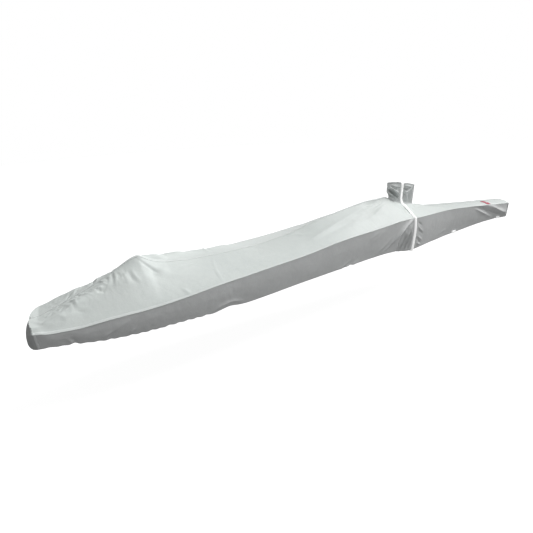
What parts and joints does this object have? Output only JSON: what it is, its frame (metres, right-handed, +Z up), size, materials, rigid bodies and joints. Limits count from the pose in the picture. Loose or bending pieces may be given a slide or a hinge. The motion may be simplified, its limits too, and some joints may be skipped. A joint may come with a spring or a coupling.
{
  "type": "fitted cover for a narrow one-person boat hull",
  "caption": "Fitted cloth cover for a long narrow hull, tented top, flat sides with rolled hem, flattened mast sleeve and a tie round it.",
  "frame": {"origin": "on the centreline, at the underside of the top where the hull's mast foot holds the cover up", "axes": "+X towards the bow along the cover's length, +Y to the port side, +Z up"},
  "size_m": [3.721, 0.4867, 0.4697],
  "materials": {
    "top_cloth": "pale mint-grey coated polyester, fine plain weave, soft sheen",
    "side_cloth": "pale mint-grey coated polyester, fine plain weave, soft sheen",
    "collar_cloth": "the same coated polyester, creased where the tie presses it flat",
    "tie_cord": "white braided cord",
    "tab_webbing": "white narrow webbing folded double",
    "patch_cloth": "plain dark red woven patch with a sewn edge"
  },
  "bodies": {
    "root": {"deck_panel_starboard": "top_cloth", "deck_panel_port": "top_cloth", "side_panel_starboard": "side_cloth", "side_panel_port": "side_cloth", "stern_end_panel": "side_cloth", "nose_end_panel": "side_cloth", "mast_collar": "collar_cloth", "tie_loop": "tie_cord", "hem_tab_starboard_1": "tab_webbing", "hem_tab_starboard_2": "tab_webbing", "hem_tab_port_1": "tab_webbing", "hem_tab_port_2": "tab_webbing", "bow_patch": "patch_cloth"}
  },
  "joints": []
}
